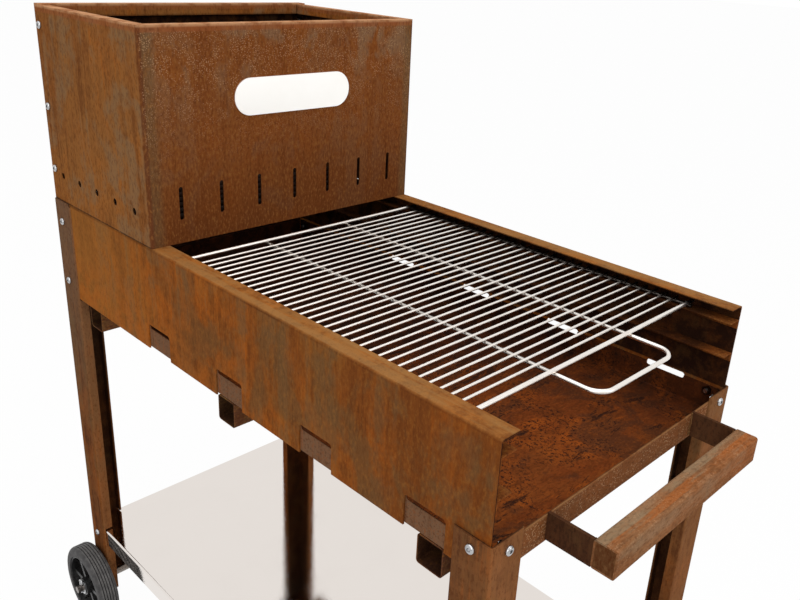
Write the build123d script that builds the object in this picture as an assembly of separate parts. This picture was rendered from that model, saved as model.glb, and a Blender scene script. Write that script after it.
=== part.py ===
"""Corten steel wood grill: trough with a firebox and a sliding grate, on two legs and two wheels.

Millimetres, +Z up. While the pieces are made, X runs from the outer face of the rear legs towards the
open end with the handle, Y is centred (-Y is left, seen from the open end) and Z starts on the ground.
The finished pieces move along X, so that the origin lies under the middle of the whole grill.
"""
import os

from build123d import *

# Trough
trough_width = 450.0  # across the outer faces of the side walls
trough_length = 867.0  # outer face of the rear legs to the front of the floor tray
wall_top = 768.0  # top of the side walls above the ground
wall_height = 149.5
wall_sheet = 2.0
wall_flange = 25.0  # width of the flange along the top, turned inwards
tray_lip_drop = 115.5  # top of the walls down to the floor tray's turned-up edges
floor_sheet = 2.0
end_wall_sheet = 2.0
sheet_bend = 2.0  # inner radius of the bends in the trough's sheets
notch_width = 55.0  # air notches in the bottom edge of the walls
notch_above_lip = 2.5  # top of a notch above the floor tray's edge
slit_below_lip = 5.0  # cut-out in the floor tray's edge behind each notch
notch_corner = 4.0
notch_pitch = 165.3
notch_from_front = 82.5  # centre of the last notch, from the open end
notch_count = 4

# Ledge rails inside the walls
ledge_depth = 21.0
ledge_lip = 12.0
ledge_sheet = 1.5
ledge_bend = 1.0
ledge_upper_drop = 18.0  # below the top of the walls
ledge_lower_drop = 62.0

# Cross tubes
tube_size = 35.0
tube_wall = 2.0
tube_corner = 4.0
tube_recess = 3.0  # ends lie this far inside the outer faces of the walls
tube_pitch = 350.0
tube_from_front = 75.0  # centre of the front tube, from the open end

# Legs
leg_flange = 48.0
leg_lip = 15.0
leg_sheet = 3.0
leg_bend = 1.5
leg_foot_rear = 57.0  # lower end of the rear legs above the ground
front_leg_drop = 109.0  # top of the walls down to the top of the front legs
leg_lip_clear = 3.0  # lips stop this far from the trough and the shelf
leg_chamfer = 6.0

# Storage shelf
shelf_top = 185.0
shelf_height = 29.0
shelf_sheet = 1.5
shelf_bend = 1.5
shelf_clear = 0.5  # around the shelf, inside the legs

# Wheels
axle_radius = 6.0
axle_from_rear = 24.0
tyre_radius = 71.0
tyre_seat = 55.0  # radius where the tyre sits on the rim
tyre_width = 33.0
tyre_shoulder = 8.5
groove_width = 1.6
groove_depth = 1.5
groove_pitch = 4.6
groove_count = 5
rim_barrel = 3.0
rim_width = 29.0
hub_radius = 15.0
spoke_count = 6
spoke_width = 7.0
spoke_depth = 18.0
spoke_root = 1.0  # spokes run this far into the hub and the barrel
wheel_running_clear = 0.05  # radial, hub on axle
wheel_side_clear = 0.3  # along the axle, on each side of the hub
wheel_from_leg = 3.0
spacer_wall = 4.0
washer_radius = 12.0
washer_sheet = 2.0
pin_radius = 1.5
pin_eye_radius = 4.0
pin_tail = 4.0  # below the axle
pin_clear = 0.1
axle_beyond_pin = 8.0
fixed_hole_clear = 0.2  # radial, around a rod or bolt that doesn't turn

# Handle
handle_depth = 26.0
handle_height = 32.0
handle_wall = 2.0
handle_corner = 3.0
handle_reach = 75.0  # outer leg face to the far side of the bar
handle_rise = 3.5  # top of the bar above the floor tray's edge
handle_width = 286.0  # bar length, as far as the outer faces of the brackets
handle_cap_sheet = 2.0
bracket_sheet = 4.0
bracket_drop = 1.0  # below the top of the bar

# Firebox
box_length = 287.0  # rear face to front face
box_height = 274.0
box_sheet = 2.0
box_bend = 4.0
rim_width_in = 16.0  # folded rim, turned inwards
rim_lip = 15.0
rear_flange = 20.0  # side flanges of the rear panel
slot_width = 6.0
slot_length = 44.0
slot_pitch = 60.0
slot_low = 31.0  # lower end of the slots above the walls
slot_margin = 40.0  # least distance from the side to a slot
hole_radius = 5.0
hole_pitch = 52.9
hole_from_rear = 35.2
hole_from_front = 30.0  # least distance from the front to a hole
hole_height = 40.0  # above the walls
plate_length = 193.0
plate_height = 49.0
plate_sheet = 1.5
plate_centre = 181.0  # above the walls

# Cooking grate
thin_bar_radius = 1.5
thick_bar_radius = 2.5
rod_radius = 2.5
bar_pitch = 14.45
end_bar_gap = 20.0  # end bar to its neighbour
grate_from_box = 33.0  # first bar to the firebox
grate_from_front = 57.0  # last bar to the open end, at least
grate_side_clear = 7.5  # bars' ends to the ledges' lips
side_rod_inset = 6.0  # from the bars' ends
pull_rod_half = 71.0
pull_loop_reach = 59.0  # beyond the last bar
pull_loop_corner = 20.0
seat_clear = 0.3  # a grate over what it rests on

# Ember grate
ember_bar_radius = 5.0
ember_rod_radius = 4.0
ember_pitch = 24.0
ember_overlap = 7.0  # bars reach this far over the wall flanges
ember_margin = 8.0  # to the rim of the firebox, along X
ember_rod_half = 120.0

# Bolts and nuts
bolt_radius = 3.0
bolt_head_radius = 5.25
bolt_head_height = 3.3
bolt_head_round = 2.2
bolt_socket = 4.0  # across flats
bolt_socket_depth = 2.0
bolt_tail = 1.5  # beyond the nut
nut_flats = 10.0
nut_height = 5.0
thread_clear = 0.05
rear_bolt_upper = 31.0  # below the top of a rear leg
rear_bolt_lower = 9.5  # below the edge of the floor tray
front_bolt_drop = 6.0  # below the edge of the floor tray
box_bolt_low = 47.0  # above the walls
box_bolt_middle = 137.0
box_bolt_top_drop = 26.0  # below the top of the firebox
box_bolt_inset = 12.0  # from the rear face

cut_margin = 1.0  # cutters reach this far past what they cut

# Places that follow
half_width = trough_width / 2
inner_half = half_width - wall_sheet
wall_bottom = wall_top - wall_height
lip_top = wall_top - tray_lip_drop
trough_rear = leg_sheet + leg_bend
tray_rear = trough_rear + end_wall_sheet
open_end = trough_length
front_face = open_end + leg_sheet
trough_front = open_end - leg_bend
leg_half = half_width + leg_sheet
box_top = wall_top + box_height
flange_edge = half_width - wall_flange
rim_edge = half_width - rim_width_in
wheel_inner = leg_half + wheel_from_leg
wheel_middle = wheel_inner + tyre_width / 2
wheel_outer = wheel_inner + tyre_width
washer_inner = wheel_outer + wheel_side_clear
pin_place = washer_inner + washer_sheet + pin_radius + pin_clear
axle_half = pin_place + axle_beyond_pin
handle_front = front_face + handle_reach
handle_back = handle_front - handle_depth
handle_top = lip_top + handle_rise
handle_bottom = handle_top - handle_height
shelf_bottom = shelf_top - shelf_height
rear_most = axle_from_rear - tyre_radius
origin_x = (rear_most + handle_front) / 2


def block(x, y, z):
    """Box between two limits along each axis."""
    size = [high - low for low, high in (x, y, z)]
    middle = [(high + low) / 2 for low, high in (x, y, z)]
    return Pos(*middle) * Box(*size)


def rod(centre, direction, radius, length):
    """Round bar around its centre."""
    return Plane(origin=centre, z_dir=direction) * Cylinder(radius, length)


def bent_section(corners, thickness, bend):
    """Section of a folded sheet. The corners follow its outer face, and every fold turns left."""
    outer = [Vector(*corner) for corner in corners]
    runs = [(end - start).normalized() for start, end in zip(outer, outer[1:])]
    normals = [Vector(-run.Y, run.X) for run in runs]
    inner = [outer[0] + normals[0] * thickness]
    for corner, before, after in zip(outer[1:], normals, normals[1:]):
        inner.append(corner + (before + after) * (thickness / (1 + before.dot(after))))
    inner.append(outer[-1] + normals[-1] * thickness)
    outer_line = FilletPolyline(*outer, radius=bend + thickness)
    inner_line = FilletPolyline(*inner, radius=bend)
    first_end = Line(outer_line @ 0, inner_line @ 0)
    last_end = Line(outer_line @ 1, inner_line @ 1)
    lines = (outer_line, last_end, inner_line, first_end)
    return make_face([edge for line in lines for edge in line.edges()])


def along_x(section, start, end):
    """Section drawn in Y and Z, drawn out along X."""
    return extrude(Plane.YZ.offset(start) * section, amount=end - start, dir=(1, 0, 0))


def along_z(section, low, high):
    """Section drawn in X and Y, drawn out along Z."""
    return extrude(Pos(0, 0, low) * section, amount=high - low, dir=(0, 0, 1))


def turned_down_tray(ends, half, heights, thickness, bend):
    """Flat sheet with all four edges folded down and open corners."""
    rear, front = ends
    low, high = heights
    fold = thickness + bend
    across = ((half, low), (half, high), (-half, high), (-half, low))
    tray = along_x(bent_section(across, thickness, bend), rear + fold, front - fold)
    lengthwise = ((front, low), (front, high), (rear, high), (rear, low))
    section = Plane.XZ * bent_section(lengthwise, thickness, bend)
    return tray + extrude(section, amount=half - fold, both=True)


def other_side(shape):
    """The same piece on the left side."""
    return mirror(shape, about=Plane.XZ)


def group(shapes):
    """Several loose solids as one piece."""
    return Compound([solid for shape in shapes for solid in shape.solids()])


def bolt(place, outward, grip):
    """Button-head bolt with its head on the face at place."""
    head = Pos(0, 0, bolt_head_height / 2) * Cylinder(bolt_head_radius, bolt_head_height)
    head = fillet(head.edges().sort_by(Axis.Z)[-1], bolt_head_round)
    socket = RegularPolygon(bolt_socket / 2, 6, major_radius=False)
    head -= extrude(Pos(0, 0, bolt_head_height) * socket, amount=-bolt_socket_depth)
    shank_length = grip + nut_height + bolt_tail
    shank = Pos(0, 0, -shank_length / 2) * Cylinder(bolt_radius, shank_length)
    return Plane(origin=place, z_dir=outward) * (head + shank)


def nut(place, outward, grip):
    """Hexagon nut on the far side of the sheets from the bolt head at place."""
    body = extrude(RegularPolygon(nut_flats / 2, 6, major_radius=False), amount=-nut_height)
    body -= Cylinder(bolt_radius + thread_clear, 2 * nut_height + cut_margin)
    return Plane(origin=place, z_dir=outward) * (Pos(0, 0, -grip) * body)


def bolt_hole(place, outward, depth):
    """Cutter for a bolt's hole, through sheets on both sides of place."""
    return rod(place, outward, bolt_radius + fixed_hole_clear, 2 * depth)


# Bolt places, each with the direction that its head faces and the thickness of the sheets under it
leg_middle = leg_flange / 2
front_bolt_z = lip_top - front_bolt_drop
front_leg_middle = front_face - leg_middle
leg_half_middle = leg_half - leg_middle
wall_and_tray = leg_sheet + wall_sheet + floor_sheet
leg_bolts = []
shelf_bolts = []
box_bolts = []
for side in (-1, 1):
    out = (0, side, 0)
    leg_bolts += [
        ((leg_middle, side * leg_half, wall_top - rear_bolt_upper), out, leg_sheet + wall_sheet),
        ((leg_middle, side * leg_half, lip_top - rear_bolt_lower), out, wall_and_tray),
        ((front_leg_middle, side * leg_half, front_bolt_z), out, wall_and_tray),
        ((front_face, side * leg_half_middle, front_bolt_z), (1, 0, 0), leg_sheet + floor_sheet),
    ]
    shelf_bolts += [
        ((x, side * leg_half, shelf_top - shelf_height / 2), out, leg_sheet + shelf_clear + shelf_sheet)
        for x in (leg_middle, front_leg_middle)
    ]
    box_bolt_heights = (wall_top + box_bolt_low, wall_top + box_bolt_middle, box_top - box_bolt_top_drop)
    box_bolts += [
        ((box_bolt_inset, side * half_width, z), out, 2 * box_sheet) for z in box_bolt_heights
    ]


def drilled(shape, bolts):
    """A sheet piece with the holes of the bolts that pass through it."""
    for place, outward, grip in bolts:
        shape -= bolt_hole(place, outward, grip + cut_margin)
    return shape


def notch_cutters(z, depth):
    """Cutters in line with the right wall's air notches, with rounded corners at depth from height z."""
    outline = RectangleRounded(notch_width, 2 * depth, notch_corner)
    cutters = []
    for number in range(notch_count):
        x = open_end - notch_from_front - number * notch_pitch
        sketch = Plane.XZ.offset(-half_width) * Pos(x, z) * outline
        cutters.append(extrude(sketch, amount=2 * (wall_sheet + floor_sheet), both=True))
    return cutters


def side_wall():
    """Right wall, with its top flange and the air notches."""
    corners = ((half_width, wall_bottom), (half_width, wall_top), (flange_edge, wall_top))
    wall = along_x(bent_section(corners, wall_sheet, sheet_bend), trough_rear, trough_front)
    wall -= notch_cutters(wall_bottom, lip_top + notch_above_lip - wall_bottom)
    return drilled(wall, leg_bolts)


def floor_pan():
    """Flat tray between the walls, with all four edges turned up and cut out behind the air notches."""
    heights = (-lip_top, -wall_bottom)
    turned_over = turned_down_tray((tray_rear, open_end), inner_half, heights, floor_sheet, sheet_bend)
    tray = mirror(turned_over, about=Plane.XY)
    for cutter in notch_cutters(lip_top, slit_below_lip):
        tray -= cutter + other_side(cutter)
    return drilled(tray, leg_bolts)


def trough_end_wall():
    """Plate that closes the trough at the rear, between the walls."""
    top = wall_top - wall_sheet - sheet_bend
    return block((trough_rear, tray_rear), (-inner_half, inner_half), (wall_bottom, top))


def ledge(drop):
    """Right ledge rail, with its top at drop below the walls' top."""
    top = wall_top - drop
    corners = ((inner_half, top - ledge_lip), (inner_half, top), (inner_half - ledge_depth, top))
    return along_x(bent_section(corners, ledge_sheet, ledge_bend), leg_flange, trough_front)


def cross_tube(number):
    """Square tube under the walls, counted from the front."""
    x = open_end - tube_from_front - number * tube_pitch
    outside = RectangleRounded(tube_size, tube_size, tube_corner)
    inside_size = tube_size - 2 * tube_wall
    inside = RectangleRounded(inside_size, inside_size, tube_corner - tube_wall)
    half = half_width - tube_recess
    tube = extrude(Plane.XZ * (outside - inside), amount=half, both=True)
    return Pos(x, 0, wall_bottom - tube_size / 2) * tube


def leg_section():
    """Section of the right rear leg: two flanges and their return lips."""
    corners = (
        (leg_flange, leg_half - leg_lip),
        (leg_flange, leg_half),
        (0, leg_half),
        (0, leg_half - leg_flange),
        (leg_lip, leg_half - leg_flange),
    )
    return bent_section(corners, leg_sheet, leg_bend)


def lip_cutters(low, high):
    """Cutters that take away both lips of the right rear leg between two heights."""
    corner = leg_sheet + leg_bend
    side_lip = block(
        (leg_flange - corner, leg_flange + cut_margin),
        (leg_half - leg_lip - cut_margin, leg_half - leg_sheet),
        (low, high),
    )
    edge = leg_half - leg_flange
    end_lip = block((leg_sheet, leg_lip + cut_margin), (edge - cut_margin, edge + corner), (low, high))
    return side_lip + end_lip


def leg(low, high):
    """Right leg at the rear corner, with its lips cut away at the trough and the shelf."""
    body = along_z(leg_section(), low, high)
    body -= lip_cutters(wall_bottom - leg_lip_clear, high + cut_margin)
    body -= lip_cutters(shelf_bottom - leg_lip_clear, shelf_top + leg_lip_clear)
    return body


def rear_leg():
    """Right rear leg, with the axle hole and a corner cut off at the top."""
    body = leg(leg_foot_rear, wall_top)
    axle_hole = axle_radius + fixed_hole_clear
    body -= rod((axle_from_rear, leg_half, tyre_radius), (0, 1, 0), axle_hole, 4 * leg_sheet)
    corner = Pos(leg_flange, leg_half, wall_top) * Rot(0, 45, 0)
    body -= corner * Box(leg_chamfer * 2**0.5, 4 * leg_sheet, leg_chamfer * 2**0.5)
    return drilled(body, leg_bolts + shelf_bolts)


def front_leg():
    """Right front leg, which ends below the top of the wall."""
    rear_copy = leg(0, wall_top - front_leg_drop)
    body = Pos(front_face, 0, 0) * mirror(rear_copy, about=Plane.YZ)
    return drilled(body, leg_bolts + shelf_bolts)


def storage_shelf():
    """Tray with down-turned edges, between the legs."""
    ends = (leg_sheet + shelf_clear, open_end - shelf_clear)
    half = half_width - shelf_clear
    tray = turned_down_tray(ends, half, (shelf_bottom, shelf_top), shelf_sheet, shelf_bend)
    return drilled(tray, shelf_bolts)


def on_axle(shape, y):
    """Place a turned piece on the axle."""
    return Pos(axle_from_rear, y, tyre_radius) * shape


def turned(radii, half_length):
    """Ring around the Y axis between two radii."""
    inside, outside = radii
    section = Pos((inside + outside) / 2, 0) * Rectangle(outside - inside, 2 * half_length)
    return revolve(section, axis=Axis.Y)


def tyre():
    """Solid tyre with rounded shoulders and grooves around the tread."""
    section = Pos((tyre_seat + tyre_radius) / 2, 0) * Rectangle(tyre_radius - tyre_seat, tyre_width)
    section = fillet(section.vertices().group_by(Axis.X)[-1], tyre_shoulder)
    for number in range(groove_count):
        y = (number - (groove_count - 1) / 2) * groove_pitch
        section -= Pos(tyre_radius, y) * Rectangle(2 * groove_depth, groove_width)
    return revolve(section, axis=Axis.Y)


def rim():
    """Hub, spokes and barrel of a wheel."""
    barrel_inside = tyre_seat - rim_barrel
    bore = axle_radius + wheel_running_clear
    body = turned((barrel_inside, tyre_seat), rim_width / 2)
    body += turned((bore, hub_radius), tyre_width / 2)
    start = hub_radius - spoke_root
    end = barrel_inside + spoke_root
    spoke = block((start, end), (-spoke_depth / 2, spoke_depth / 2), (-spoke_width / 2, spoke_width / 2))
    for number in range(spoke_count):
        body += Rot(0, number * 360 / spoke_count, 0) * spoke
    return body


def wheel_axle():
    """Round axle through the rear legs, with a cross hole for each pin."""
    axle = rod((axle_from_rear, 0, tyre_radius), (0, 1, 0), axle_radius, 2 * axle_half)
    for side in (-1, 1):
        hole_length = 2 * axle_radius + cut_margin
        place = (axle_from_rear, side * pin_place, tyre_radius)
        axle -= rod(place, (0, 0, 1), pin_radius + pin_clear, hole_length)
    return axle


def wheel_spacer():
    """Sleeve between the right rear leg and its wheel."""
    bore = axle_radius + fixed_hole_clear
    length = wheel_from_leg - wheel_side_clear
    return on_axle(turned((bore, bore + spacer_wall), length / 2), leg_half + length / 2)


def wheel_washer():
    """Washer outside the right wheel."""
    bore = axle_radius + fixed_hole_clear
    return on_axle(turned((bore, washer_radius), washer_sheet / 2), washer_inner + washer_sheet / 2)


def wheel_pin():
    """Pin with an eye, down through the axle outside the right washer."""
    low = -axle_radius - pin_tail
    high = axle_radius + pin_eye_radius
    pin = Pos(0, 0, (low + high) / 2) * Cylinder(pin_radius, high - low)
    eye = Rot(90, 0, 0) * Torus(pin_eye_radius, pin_radius)
    return on_axle(pin + Pos(0, 0, high + pin_eye_radius - pin_radius) * eye, pin_place)


def handle_section(inset):
    """Outline of the handle's tube, drawn in by inset, in X and Z."""
    middle = Pos((handle_back + handle_front) / 2, (handle_bottom + handle_top) / 2)
    size = (handle_depth - 2 * inset, handle_height - 2 * inset)
    return Plane.XZ * middle * RectangleRounded(*size, handle_corner - inset)


def handle_bar():
    """Rectangular tube across the open end."""
    section = handle_section(0) - handle_section(handle_wall)
    return extrude(section, amount=handle_width / 2, both=True)


def handle_cap():
    """Plate that closes the right end of the bar."""
    plate = extrude(handle_section(handle_wall), amount=handle_cap_sheet / 2, both=True)
    return Pos(0, (handle_width - handle_cap_sheet) / 2, 0) * plate


def handle_bracket():
    """Right plate from the floor tray's front edge to the back of the bar."""
    outer = handle_width / 2
    heights = (handle_bottom, handle_top - bracket_drop)
    return block((open_end, handle_back), (outer - bracket_sheet, outer), heights)


def box_outline(inset):
    """Plan of the firebox, drawn in by inset at the front and the sides, open-ended at the rear."""
    front = box_length - inset
    half = half_width - inset
    return Pos((box_sheet + front) / 2, 0) * Rectangle(front - box_sheet, 2 * half)


def firebox_shell():
    """Front and sides of the firebox, folded from one sheet, with the rim, slots and air holes."""
    corners = (
        (box_sheet, -half_width),
        (box_length, -half_width),
        (box_length, half_width),
        (box_sheet, half_width),
    )
    shell = along_z(bent_section(corners, box_sheet, box_bend), wall_top, box_top)
    rim = box_outline(0)
    rim = fillet(rim.vertices().group_by(Axis.X)[-1], box_bend + box_sheet)
    rim -= box_outline(rim_width_in)
    shell += along_z(rim, box_top - box_sheet, box_top)
    lip = box_outline(rim_width_in - box_sheet) - box_outline(rim_width_in)
    shell += along_z(lip, box_top - rim_lip, box_top)
    reach = int((half_width - slot_margin) / slot_pitch)
    slot = SlotOverall(slot_length, slot_width, rotation=90)
    slot_z = wall_top + slot_low + slot_length / 2
    for number in range(-reach, reach + 1):
        cutter = Plane.YZ.offset(box_length) * Pos(number * slot_pitch, slot_z) * slot
        shell -= extrude(cutter, amount=2 * box_sheet, both=True)
    hole_count = int((box_length - hole_from_front - hole_from_rear) / hole_pitch) + 1
    for number in range(hole_count):
        x = hole_from_rear + number * hole_pitch
        place = (x, 0, wall_top + hole_height)
        shell -= rod(place, (0, 1, 0), hole_radius, trough_width + 2 * cut_margin)
    return drilled(shell, box_bolts)


def firebox_rear_panel():
    """Rear panel with side flanges inside the shell and a rim that lies on the shell's rim."""
    panel = block((0, box_sheet), (-half_width, half_width), (wall_top, box_top + box_sheet))
    panel += block((0, rim_width_in + box_sheet), (-half_width, half_width), (box_top, box_top + box_sheet))
    lip_half = rim_edge - box_sheet
    lip_x = (rim_width_in, rim_width_in + box_sheet)
    panel += block(lip_x, (-lip_half, lip_half), (box_top - rim_lip, box_top + box_sheet))
    outer = half_width - box_sheet
    flange_top = box_top - box_sheet - box_bend
    for side in (-1, 1):
        across = sorted((side * outer, side * (outer - box_sheet)))
        panel += block((box_sheet, rear_flange), across, (wall_top, flange_top))
    return drilled(panel, box_bolts)


def front_plate():
    """Bare plate with round ends on the front of the firebox."""
    outline = SlotOverall(plate_length, plate_height)
    sketch = Plane.YZ.offset(box_length) * Pos(0, wall_top + plate_centre) * outline
    return extrude(sketch, amount=plate_sheet, dir=(1, 0, 0))


# Places of the cooking grate
bar_half = inner_half - ledge_sheet - grate_side_clear
first_bar_x = box_length + grate_from_box
thin_start = first_bar_x + end_bar_gap
thin_span = open_end - grate_from_front - end_bar_gap - thin_start
thin_count = int(thin_span / bar_pitch) + 1
last_bar_x = thin_start + (thin_count - 1) * bar_pitch + end_bar_gap
rod_z = wall_top - ledge_upper_drop + seat_clear + rod_radius


def grate_bar(x, radius):
    """Bar across the cooking grate, on top of its rods."""
    return rod((x, 0, rod_z + rod_radius + radius), (0, 1, 0), radius, 2 * bar_half)


def grate_side_rods():
    """Two rods under the bars' ends, which slide on the ledges."""
    middle = (first_bar_x + last_bar_x) / 2
    length = last_bar_x - first_bar_x + 2 * thick_bar_radius
    y = bar_half - side_rod_inset
    return group([rod((middle, side * y, rod_z), (1, 0, 0), rod_radius, length) for side in (-1, 1)])


def grate_pull_rod():
    """Rod that runs under the bars on both sides of the middle and loops out at the front."""
    start = first_bar_x - thick_bar_radius
    front = last_bar_x + pull_loop_reach - rod_radius
    route = FilletPolyline(
        (start, -pull_rod_half, rod_z),
        (front, -pull_rod_half, rod_z),
        (front, pull_rod_half, rod_z),
        (start, pull_rod_half, rod_z),
        radius=pull_loop_corner,
    )
    section = Plane(origin=route @ 0, z_dir=route % 0) * Circle(rod_radius)
    return sweep(section, path=route)


# Places of the ember grate
ember_start = rim_width_in + box_sheet + ember_margin
ember_space = box_length - rim_width_in - ember_margin - ember_start
ember_count = int(ember_space / ember_pitch) + 1
ember_length = (ember_count - 1) * ember_pitch
ember_first = ember_start + (ember_space - ember_length) / 2
ember_bar_z = wall_top + seat_clear + ember_bar_radius


def ember_bars():
    """Bars across the bottom of the firebox, on the flanges of the walls."""
    half = flange_edge + ember_overlap
    places = [ember_first + number * ember_pitch for number in range(ember_count)]
    bars = [rod((x, 0, ember_bar_z), (0, 1, 0), ember_bar_radius, 2 * half) for x in places]
    return group(bars)


def ember_rods():
    """Two rods under the ember bars that hold them together."""
    middle = ember_first + ember_length / 2
    z = ember_bar_z - ember_bar_radius - ember_rod_radius
    length = ember_length + 2 * ember_bar_radius
    rods = [
        rod((middle, side * ember_rod_half, z), (1, 0, 0), ember_rod_radius, length) for side in (-1, 1)
    ]
    return group(rods)


pieces = {
    "floor_pan": floor_pan(),
    "trough_end_wall": trough_end_wall(),
    "storage_shelf": storage_shelf(),
    "wheel_axle": wheel_axle(),
    "handle_bar": handle_bar(),
    "firebox_shell": firebox_shell(),
    "firebox_rear_panel": firebox_rear_panel(),
    "front_plate": front_plate(),
    "grate_side_rods": grate_side_rods(),
    "grate_pull_rod": grate_pull_rod(),
    "ember_bars": ember_bars(),
    "ember_rods": ember_rods(),
}
pieces["grate_bars"] = group(
    [grate_bar(thin_start + number * bar_pitch, thin_bar_radius) for number in range(thin_count)]
)
pieces["grate_end_bars"] = group([grate_bar(x, thick_bar_radius) for x in (first_bar_x, last_bar_x)])
for number, place_name in enumerate(("front", "middle", "rear")):
    pieces["cross_tube_" + place_name] = cross_tube(number)

pairs = {
    "side_wall": side_wall(),
    "ledge_upper": ledge(ledge_upper_drop),
    "ledge_lower": ledge(ledge_lower_drop),
    "leg_rear": rear_leg(),
    "leg_front": front_leg(),
    "tyre": on_axle(tyre(), wheel_middle),
    "rim": on_axle(rim(), wheel_middle),
    "handle_bracket": handle_bracket(),
    "handle_cap": handle_cap(),
}
for name, shape in pairs.items():
    pieces[name + "_right"] = shape
    pieces[name + "_left"] = other_side(shape)

loose_pairs = {
    "wheel_spacers": wheel_spacer(),
    "wheel_washers": wheel_washer(),
    "wheel_pins": wheel_pin(),
}
for name, shape in loose_pairs.items():
    pieces[name] = group([shape, other_side(shape)])

for name, places in (("leg", leg_bolts), ("shelf", shelf_bolts), ("firebox", box_bolts)):
    pieces[name + "_bolts"] = group([bolt(*place) for place in places])
    pieces[name + "_nuts"] = group([nut(*place) for place in places])

os.makedirs("parts", exist_ok=True)
for name, shape in pieces.items():
    export_step(Pos(-origin_x, 0, 0) * shape, "parts/" + name + ".step")
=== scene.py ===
"""Looks of a corten steel wood grill on wheels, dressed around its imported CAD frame.

Everything is in metres, in the frame's own axes: the handle is at +X, the side that the camera
sees is -Y, and the wheels stand on Z = 0.
"""

import logging
import math
from collections.abc import Iterable, Sequence
from dataclasses import dataclass, replace
from enum import Enum
from typing import Any

import bmesh
import bpy
from mathutils import Matrix, Vector

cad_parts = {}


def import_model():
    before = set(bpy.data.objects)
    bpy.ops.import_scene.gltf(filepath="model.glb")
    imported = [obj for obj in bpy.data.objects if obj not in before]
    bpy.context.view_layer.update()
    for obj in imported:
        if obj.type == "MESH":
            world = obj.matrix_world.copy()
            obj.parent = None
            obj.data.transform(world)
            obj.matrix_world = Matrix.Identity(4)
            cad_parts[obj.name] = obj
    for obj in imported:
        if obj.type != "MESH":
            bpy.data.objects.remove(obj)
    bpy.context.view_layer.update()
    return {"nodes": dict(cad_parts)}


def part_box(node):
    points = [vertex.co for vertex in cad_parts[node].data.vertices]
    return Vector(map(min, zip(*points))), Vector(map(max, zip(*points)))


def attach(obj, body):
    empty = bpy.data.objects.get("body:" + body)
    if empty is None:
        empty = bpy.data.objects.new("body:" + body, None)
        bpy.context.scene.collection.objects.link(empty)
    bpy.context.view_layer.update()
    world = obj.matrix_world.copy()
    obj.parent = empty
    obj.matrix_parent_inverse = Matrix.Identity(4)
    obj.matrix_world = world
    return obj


log = logging.getLogger("grill")

MERGE_DISTANCE = 1e-6
EVEN = (1.0, 1.0, 1.0)
WHITE = (255, 255, 255)
SEED_WAY = (1.37, 0.73, 2.11)

Colour = tuple[int, int, int]
Triple = tuple[float, float, float]
Box = tuple[Vector, Vector]
Socket = bpy.types.NodeSocket
Material = bpy.types.Material
Values = dict[str | int, Any] | None


def linear(levels: Colour) -> tuple[float, ...]:
    """Turns a colour as a screen shows it into the linear one that a shader takes.

    Args:
        levels: red, green and blue, from 0 to 255.

    Returns:
        The linear colour, with an alpha of 1.
    """
    shares = (level / 255 for level in levels)
    return *(s / 12.92 if s <= 0.04045 else ((s + 0.055) / 1.055) ** 2.4 for s in shares), 1.0


def placed(name: str, data: bpy.types.ID) -> bpy.types.Object:
    """Adds an object to the scene.

    Args:
        name: name of the object.
        data: its mesh, light or camera.

    Returns:
        The object, at the origin.
    """
    made = bpy.data.objects.new(name, data)
    bpy.context.scene.collection.objects.link(made)
    return made


class Field:
    """A number that changes over a surface: one socket, whose arithmetic adds Math nodes."""

    def __init__(self, tree: "Tree", socket: Socket) -> None:
        """Wraps one output socket of a tree."""
        self.tree = tree
        self.socket = socket

    def _math(self, operation: str, *terms: "Field | float") -> "Field":
        """Adds one Math node and wraps its result."""
        made = self.tree.node("ShaderNodeMath", {"operation": operation}, dict(enumerate(terms)))
        return Field(self.tree, made.outputs[0])

    def __add__(self, other: "Field | float") -> "Field":
        """Sum."""
        return self._math("ADD", self, other)

    __radd__ = __add__

    def __sub__(self, other: "Field | float") -> "Field":
        """Difference."""
        return self._math("SUBTRACT", self, other)

    def __rsub__(self, other: float) -> "Field":
        """Difference from a number."""
        return self._math("SUBTRACT", other, self)

    def __mul__(self, other: "Field | float") -> "Field":
        """Product."""
        return self._math("MULTIPLY", self, other)

    __rmul__ = __mul__

    def __pow__(self, exponent: float) -> "Field":
        """Power."""
        return self._math("POWER", self, exponent)

    def __abs__(self) -> "Field":
        """Size without its sign."""
        return self._math("ABSOLUTE", self)

    def most(self, other: "Field | float") -> "Field":
        """The larger of two."""
        return self._math("MAXIMUM", self, other)

    def rise(self, low: float, high: float) -> "Field":
        """Soft step from 0 at low to 1 at high; a low above high makes it fall."""
        start, end = sorted((low, high))
        inputs = {0: self, 1: start, 2: end}
        made = self.tree.node("ShaderNodeMapRange", {"interpolation_type": "SMOOTHSTEP"}, inputs)
        step = Field(self.tree, made.outputs[0])
        return 1 - step if low > high else step

    def between(self, low: float, high: float, start: float, end: float) -> "Field":
        """Soft step from 0 to 1 between two shares of the way from low to high."""
        return self.rise(low + start * (high - low), low + end * (high - low))


class Tree:
    """A node tree that one node-maker fills."""

    def __init__(self, tree: bpy.types.NodeTree) -> None:
        """Takes an empty tree."""
        self.tree = tree

    def node(self, kind: str, settings: Values = None, inputs: Values = None) -> bpy.types.Node:
        """Adds a node.

        Args:
            kind: Blender's name of the node type.
            settings: the node's own properties, which are set first.
            inputs: a value, a socket or a Field for each input, by name or place.

        Returns:
            The new node.
        """
        made = self.tree.nodes.new(kind)
        for name, value in (settings or {}).items():
            setattr(made, name, value)
        for key, value in (inputs or {}).items():
            source = value.socket if isinstance(value, Field) else value
            if isinstance(source, Socket):
                self.tree.links.new(source, made.inputs[key])
            else:
                made.inputs[key].default_value = source
        return made


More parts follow.
